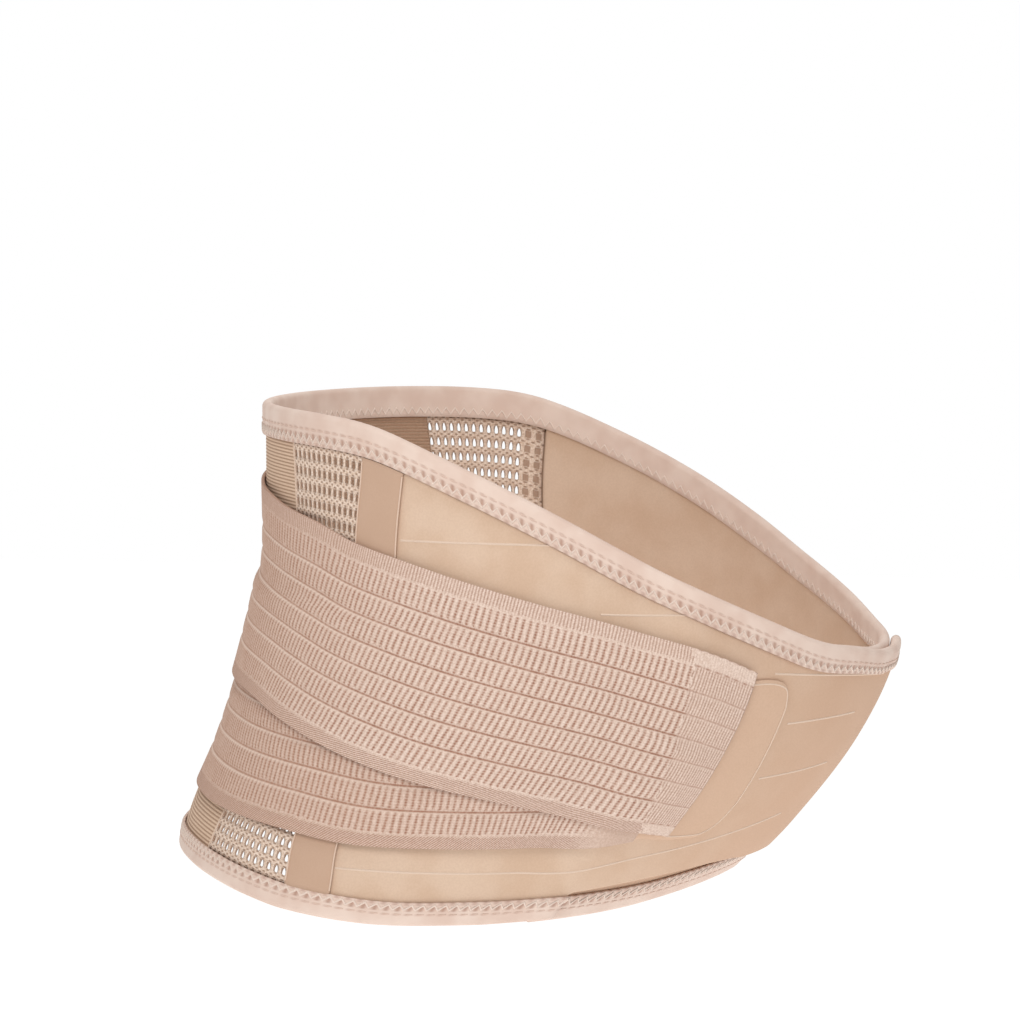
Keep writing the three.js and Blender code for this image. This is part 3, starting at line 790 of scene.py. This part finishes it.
# Shares of the leg's width at which the zigzag turns and at which the row of stitches lies, and the
# shallow groove that the zigzag pulls the cloth into
ZIGZAG_LOW = 0.92
ZIGZAG_HIGH = 0.70
ROW_DROP = 0.52
ROW_STITCH = 0.6
GROOVE_DROP = 0.8
GROOVE_SPREAD = 0.12
GROOVE_DEPTH = 0.25 * MM
ZIGZAG_THREAD = 0.75 * MM
ZIGZAG_SUNK = 0.3 * MM
ROW_THREAD = 0.28 * MM


def fold_path(width):
    """Lift, drop and place across, below 0 on the inner leg, of the outer face round the fold."""
    middle = OVER_PANEL + BINDING - ROLL
    angle = np.linspace(0, math.pi, ROUND_ROLL + 2)[1:-1]
    outer = np.linspace(width, ROLL, OUTER_LEG)
    inner = np.linspace(ROLL, width, INNER_LEG)
    lifts = middle + ROLL * np.r_[0 * outer + 1, np.cos(angle), 0 * inner - 1]
    down = np.r_[outer, ROLL * (1 - np.sin(angle))]
    return lifts, np.r_[down, inner], np.r_[down, -inner] / width


def arc_along(turns, height):
    """How far each of a row of points on the inner form is from the first one, along the form."""
    points = cloth(turns, height, 0 * turns)
    steps = np.linalg.norm(np.diff(points, axis=0), axis=1)
    return np.r_[0, np.cumsum(steps)]


def binding(name, first, last, rim, sign, width, leg):
    lifts, drops, across = fold_path(width)

    def drop_at(turn, drop):
        """The drop below the rim, where the legs' width changes with the turn and the roll stays."""
        return np.where(drop > ROLL, ROLL + (drop - ROLL) * smooth(leg, mirrored(turn)), drop)

    def height_at(turn, drop):
        return rim(turn) - sign * drop_at(turn, drop)

    turns = np.linspace(first, last, BINDING_STEPS)
    along = arc_along(turns, rim(turns))

    def place(turn, k):
        k = k.astype(int)
        off = (drops[k] / width - GROOVE_DROP) / GROOVE_SPREAD
        groove = -GROOVE_DEPTH * np.exp(-off ** 2) * (k < OUTER_LEG)
        steps = np.interp(turn, turns, along) / ZIGZAG_PITCH
        return turn, height_at(turn, drops[k]), lap_rise(turn) + lifts[k], groove, steps, across[k]

    piece = sew(name, turns, np.arange(len(lifts)), place, BINDING, fold)
    face = OVER_PANEL + BINDING
    pitches = along[-1] / ZIGZAG_PITCH
    corners = np.arange(int(pitches * 2) + 1)
    at = np.interp(corners * ZIGZAG_PITCH / 2, along, turns)
    swing = np.where(corners % 2, ZIGZAG_HIGH, ZIGZAG_LOW) * width
    lines = []
    for lift in (face - ZIGZAG_SUNK, lifts[-1] + ZIGZAG_SUNK):
        lines.append(cloth(at, height_at(at, swing), lap_rise(at) + lift))
    stitch(name + "_zigzag", lines, ZIGZAG_THREAD, pale_thread, piece)
    runs = []
    for start in np.arange(0.5, pitches - 1) * ZIGZAG_PITCH:
        part = np.interp([start, start + ROW_STITCH * ZIGZAG_PITCH], along, turns)
        runs.append(cloth(part, height_at(part, ROW_DROP * width), lap_rise(part) + face))
    stitch(name + "_row", runs, ROW_THREAD, row_thread, piece)


binding("top_binding", LAP_END, 360 + INNER_END, top_edge, 1, TOP_BINDING_WIDTH, TOP_LEG)
binding("bottom_binding", BINDING_END, 360 + INNER_END, bottom_edge, -1, BOTTOM_BINDING_WIDTH,
        BOTTOM_LEG)


# Side tapes, with a piped edge on each side. Places across are shares of the tape's width.
TAPE_ROUNDED = (0.44, 0.5)
TAPE_ROUNDING = 0.2 * MM
PIPED_AT = 0.485
PIPING = 0.4 * MM


def seam_tape(side, word):
    def place(u, v):
        turn = tape_turn(0 * v)
        for _ in range(ROUNDS):
            low = bottom_edge(turn) + BOTTOM_BINDING_WIDTH * BOTTOM_LEG[-1][1]
            high = top_edge(turn) - TOP_BINDING_WIDTH - CLEARANCE
            height = low + v * (high - low)
            middle = tape_turn(height)
            turn = middle + side * u * degrees_of(TAPE_WIDTH, middle, height)
        relief = -TAPE_ROUNDING * ease(np.abs(u), *TAPE_ROUNDED)
        lift = OVER_PANEL + TAPE + 0 * u
        return on_side(side, turn), height, lift, relief, u * TAPE_WIDTH / MM, height / MM

    name = "seam_tape_" + word
    piece = sew(name, stations(12, 0.03) - 0.5, np.linspace(0, 1, 81), place, TAPE, tape_weave)
    v = np.linspace(0.01, 0.99, 90)
    runs = [cloth(*place(edge + 0 * v, v)[:3]) for edge in (-PIPED_AT, PIPED_AT)]
    stitch(name + "_piping", runs, PIPING, tape_edge_thread, piece)


for side, word in SIDES:
    seam_tape(side, word)


# Straps. The rows of stitches are counted in degrees from the root's end. Between the next two
# turns the root comes down on the back, and between the next two cords its relief ends.
ROOT_STITCHES = (1.2, 3.4)
ROOT_SEAT = (STRAP_ROOT - 26, STRAP_ROOT - 8)
ROOT_FLAT = (104, 108)
CORDED_BANDS = (0.8, 1.05, 7.95, 8.2)
CORD_DEPTH = 0.35 * MM
CHANNEL_DEPTH = 0.5 * MM
POINTS_PER_CORD = 5
POINTS_IN_BAND = (0.08, 0.25, 0.5, 0.75, 0.92)
# Degrees over which the cords' lean sets in at the end and fades at the root
LEAN_STARTS = 30
LEAN_ENDS = 20
ROOT_THREAD = 0.45 * MM
THREAD_SUNK = 0.1 * MM
# Degrees that each second stitch of the root lies to the side
STITCH_SWAY = 0.25


def lower_strap_height(turn, share):
    covered = STRAP_WIDTH * (smooth(LOWER_STRAP, turn, 2) - UNCOVERED)
    past = np.maximum(share - UNCOVERED, 0) / (1 - UNCOVERED)
    edge = BELT_HEIGHT * smooth(LOWER_STRAP, turn, 1)
    return edge + np.minimum(share, UNCOVERED) * STRAP_WIDTH + past * covered


def upper_strap_height(turn, share):
    return BELT_HEIGHT * smooth(UPPER_STRAP, turn, 1) + share * STRAP_WIDTH * smooth(UPPER_STRAP, turn, 2)


def lower_strap_seat(turn, height):
    return OVER_TAPE + 0 * turn


def upper_strap_seat(turn, height):
    """What the upper strap lies on: the lower strap, and above its edge the tape and the panels."""
    above = height - lower_strap_height(turn, 1.0)
    bump = STRAP_WIDTH / 8
    on_lower = (1 - ease(above, bump / 4, bump)) * ease(turn, STRAP_END, LOWER_STRAP_END)
    return OVER_TAPE + (OVER_LOWER_STRAP - OVER_TAPE) * on_lower


def within(value, first, full, fade, last):
    """1 from full to fade, and 0 before first and past last."""
    return ease(value, first, full) * (1 - ease(value, fade, last))


def band_rows(top):
    """Shares of the width for the rows of points, more of them in the bands that start below top."""
    shares = [0.0, EDGE, 1 - EDGE]
    for low, high in zip(BANDS[:-1], BANDS[1:]):
        if low < top:
            shares += [low + at * (high - low) for at in POINTS_IN_BAND]
        shares.append(high)
    return np.unique(shares)


def strap(name, side, first, height_at, seat_at, finish, top, lean, smooth_to):
    """One strap, whose cords lean back by lean from square to it, and whose root is sewn to the back.
    Its relief ends at top, a share of its width, and starts smooth_to cords from its end."""
    middle = np.linspace(first, STRAP_ROOT, 200)
    along = arc_along(middle, height_at(middle, 0.5))
    cords = int(along[-1] / CORD_PITCH)
    turns = np.interp(np.linspace(0, 1, cords * POINTS_PER_CORD + 1) * along[-1], along, middle)

    def place(turn, share):
        centre = height_at(turn, 0.5)
        rise = (height_at(turn + 1, 0.5) - height_at(turn - 1, 0.5)) / 2
        step = 1 / degrees_of(1.0, turn, centre)
        leaning = within(turn, first, first + LEAN_STARTS, STRAP_ROOT - LEAN_ENDS, STRAP_ROOT)
        slope = (rise / step - lean) * leaning
        at = turn - degrees_of(slope * (height_at(turn, share) - centre), turn, centre)
        height = height_at(at, share)
        count = np.interp(turn, middle, along) / CORD_PITCH
        bands = np.interp(share, BANDS, np.arange(len(BANDS)))
        uncovered = share < top
        channel = corded(bands) ** 4 * within(bands, *LINED_BANDS) * uncovered
        channel = channel * ease(count, smooth_to - 4, smooth_to)
        cord = corded(count) * within(bands, *CORDED_BANDS) * uncovered
        cord = cord * within(count, smooth_to - 4, smooth_to + 2, *ROOT_FLAT)
        shown = on_side(side, at)
        seat = seat_at(at, height) - (OVER_TAPE - OVER_PANEL) * ease(at, *ROOT_SEAT)
        relief = -CORD_DEPTH * cord - CHANNEL_DEPTH * channel
        return shown, height, seat + lap_rise(shown) + STRAP, relief, count, bands

    piece = sew(name, turns, band_rows(top), place, STRAP, finish)
    rows = np.linspace(0.02, 0.98, 90)
    sway = STITCH_SWAY * (np.arange(len(rows)) % 2)
    runs = []
    for inset in ROOT_STITCHES:
        turn, height, lift, *_ = place(STRAP_ROOT - inset + sway, rows)
        runs.append(cloth(turn, height, lift - THREAD_SUNK))
    stitch(name + "_root", runs, ROOT_THREAD, row_thread, piece)


for side, word in SIDES:
    strap("lower_strap_" + word, side, LOWER_STRAP_END, lower_strap_height, lower_strap_seat,
          elastic_lower, top=0.62, lean=0.45, smooth_to=9)
    strap("upper_strap_" + word, side, STRAP_END, upper_strap_height, upper_strap_seat,
          elastic_upper, top=1.1, lean=0.1, smooth_to=9)


# Fastening tabs, with rounded edges: the rounding is this share of the tab's height at the sides,
# and this many degrees at the front
TAB_FRONT = TAB[0][0]
TAB_ROUNDING = 0.5 * MM
SIDE_ROUNDING = 1 / 60
FRONT_ROUNDING = 1 / 2.6
# The piped edge: degrees from the tab's front, its length in degrees, and its share of the tab's
# height from each side
EDGE_INSET = 0.12
EDGE_LENGTH = 10
EDGE_SHARE = 0.025
EDGE_THREAD = 0.42 * MM


def fastening_tab(side, word):
    def place(u, v):
        low = smooth(TAB, u, 1)
        high = smooth(TAB, u, 2)
        height = STRAP_WIDTH * (low + v * (high - low))
        forward = np.maximum(STRAP_END - u, 0) / (STRAP_END - TAB_FRONT)
        at = u + TAB_LEAN * forward * (height / STRAP_WIDTH - TAB_MIDDLE)
        shown = on_side(side, at)
        rim = np.minimum(np.minimum(v, 1 - v) / SIDE_ROUNDING, (u - TAB_FRONT) / FRONT_ROUNDING)
        relief = -TAB_ROUNDING * (1 - ease(rim, 0, 1.0))
        return shown, height, OVER_PANEL + lap_rise(shown) + TAPE, relief, at, height / MM

    name = "fastening_tab_" + word
    close = TAB_FRONT + np.array([0, 0.1, 0.25, 0.5, 0.75])
    turns = np.r_[close, np.arange(TAB_FRONT + 1, TAB_REAR + 0.1, 0.5)]
    piece = sew(name, turns, stations(60, 0.006), place, TAPE, tab_knit)
    forward = TAB_FRONT + EDGE_INSET + EDGE_LENGTH * np.linspace(1, 0, 24) ** 2
    down = np.linspace(0.965, 0.035, 30)
    u = np.r_[forward, 0 * down + forward[-1], forward[::-1]]
    v = np.r_[0 * forward + 1 - EDGE_SHARE, down, 0 * forward + EDGE_SHARE]
    turn, height, lift, *_ = place(u, v)
    stitch(name + "_edge", [cloth(turn, height, lift - THREAD_SUNK)], EDGE_THREAD, seam_thread, piece)


for side, word in SIDES:
    fastening_tab(side, word)


# Sewn lines that show as pale ridges in the front panels. Turn and height in millimetres.
SEAMS = {
    "upper": [(108.3, 68), (90, 67.3), (74, 66.4)],
    "middle": [(71.4, 35.5), (63, 34.6), (55.7, 33.9)],
    "front_high": [(38.8, 7.4), (20, 4.4), (1.8, 1.7)],
    "front_middle": [(31.2, -15.2), (20, -14.4), (10.2, -13.8)],
    "front_low": [(30.2, -39.9), (20, -38.6), (8.9, -37)],
    "hem": [(98.7, -78), (82.4, -79.5), (62.6, -80.3), (54.8, -78), (45.7, -73.6), (36.5, -70.4),
            (27.1, -66.4), (12.4, -59.9)],
}
SEAM_STEP = 1.5
SEAM_POINTS = 8
SEAM_CORD = 0.7 * MM
SEAM_SUNK = 0.4 * MM


def sewn_lines(side, word):
    runs = []
    for line in SEAMS.values():
        rows = sorted(line)
        first, last = rows[0][0], rows[-1][0]
        turn = np.linspace(first, last, max(int((last - first) / SEAM_STEP), SEAM_POINTS))
        shown = on_side(side, turn)
        runs.append(cloth(shown, MM * smooth(rows, turn), lap_rise(shown) + PANEL - SEAM_SUNK))
    stitch("sewn_lines_" + word, runs, SEAM_CORD, seam_thread, panels["front_panel_" + word])


for side, word in SIDES:
    sewn_lines(side, word)


# Floor and light

# Strength of the white surroundings as a light. The camera sees them at full strength.
AMBIENT = 0.5
FLOOR_LEVEL = -0.45
FLOOR_REACH = 6
FLOOR_GREY = 0.8
FLOOR_GLOW = 0.62
# Name, azimuth, elevation, distance and size in metres, and power in watts
LAMPS = (
    ("key", -82, 34, 2.0, 1.0, 12),
    ("back", 105, 25, 2.0, 1.2, 9),
    ("top", -60, 72, 1.6, 0.8, 6),
)


def studio():
    world = bpy.data.worlds.new("studio")
    world.use_nodes = True
    tree = world.node_tree
    seen = add_node(tree, "LightPath", out="Is Camera Ray")
    strength = add_node(tree, "Math", (seen, 1.0 - AMBIENT, AMBIENT), operation="MULTIPLY_ADD")
    tree.links.new(strength, tree.nodes["Background"].inputs["Strength"])
    tree.nodes["Background"].inputs["Color"].default_value = (1, 1, 1, 1)
    scene.world = world
    scene.view_settings.view_transform = "Standard"
    bm = bmesh.new()
    bmesh.ops.create_grid(bm, x_segments=1, y_segments=1, size=FLOOR_REACH)
    for vert in bm.verts:
        vert.co.z = FLOOR_LEVEL
    mesh = bpy.data.meshes.new("floor")
    bm.to_mesh(mesh)
    bm.free()
    floor = bpy.data.objects.new("floor", mesh)
    scene.collection.objects.link(floor)
    paint, _, shader = matt("matt_white_paint", 1.0, 0.0)
    shader.inputs["Base Color"].default_value = (FLOOR_GREY, FLOOR_GREY, FLOOR_GREY, 1)
    shader.inputs["Emission Color"].default_value = (1, 1, 1, 1)
    shader.inputs["Emission Strength"].default_value = FLOOR_GLOW
    floor.data.materials.append(paint)
    for name, azimuth, elevation, distance, size, power in LAMPS:
        data = bpy.data.lights.new(name, "AREA")
        data.shape = "DISK"
        data.size = size
        data.energy = power
        back = towards(azimuth, elevation)
        lamp = bpy.data.objects.new(name, data)
        lamp.location = back * distance
        lamp.rotation_euler = back.to_track_quat("Z", "Y").to_euler()
        scene.collection.objects.link(lamp)


studio()
